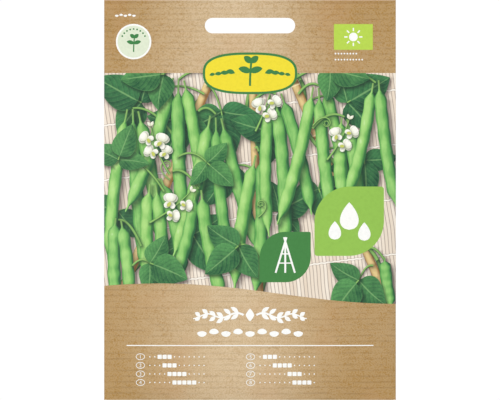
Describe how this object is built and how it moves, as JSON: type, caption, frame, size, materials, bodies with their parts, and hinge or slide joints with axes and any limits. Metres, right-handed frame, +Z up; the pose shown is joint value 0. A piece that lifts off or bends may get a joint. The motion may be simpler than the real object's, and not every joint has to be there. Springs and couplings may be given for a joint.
{
  "type": "seed packet",
  "caption": "Flat kraft-paper seed packet with a punched hang slot, a lapped and flapped back and loose climbing-bean seeds inside.",
  "frame": {"origin": "middle of the hang slot, on the packet's middle plane", "axes": "+Z up as the packet hangs, +Y out of its back, the printed front faces -Y, +X to the right as the front is seen"},
  "size_m": [0.102, 0.0096, 0.14],
  "materials": {
    "kraft_paper": "matte, printed on the front",
    "seed_coat": "smooth, slightly glossy seed coat"
  },
  "bodies": {
    "root": {"packet_sheet": "kraft_paper", "bean_seed_01": "seed_coat", "bean_seed_02": "seed_coat", "bean_seed_03": "seed_coat", "bean_seed_04": "seed_coat", "bean_seed_05": "seed_coat", "bean_seed_06": "seed_coat", "bean_seed_07": "seed_coat", "bean_seed_08": "seed_coat", "bean_seed_09": "seed_coat", "bean_seed_10": "seed_coat", "bean_seed_11": "seed_coat", "bean_seed_12": "seed_coat", "bean_seed_13": "seed_coat", "bean_seed_14": "seed_coat", "bean_seed_15": "seed_coat", "bean_seed_16": "seed_coat", "bean_seed_17": "seed_coat", "bean_seed_18": "seed_coat", "bean_seed_19": "seed_coat", "bean_seed_20": "seed_coat", "bean_seed_21": "seed_coat", "bean_seed_22": "seed_coat", "bean_seed_23": "seed_coat", "bean_seed_24": "seed_coat", "bean_seed_25": "seed_coat", "bean_seed_26": "seed_coat", "bean_seed_27": "seed_coat", "bean_seed_28": "seed_coat", "bean_seed_29": "seed_coat", "bean_seed_30": "seed_coat", "bean_seed_31": "seed_coat", "bean_seed_32": "seed_coat", "bean_seed_33": "seed_coat", "bean_seed_34": "seed_coat", "bean_seed_35": "seed_coat", "bean_seed_36": "seed_coat", "bean_seed_37": "seed_coat", "bean_seed_38": "seed_coat", "bean_seed_39": "seed_coat", "bean_seed_40": "seed_coat"}
  },
  "joints": []
}
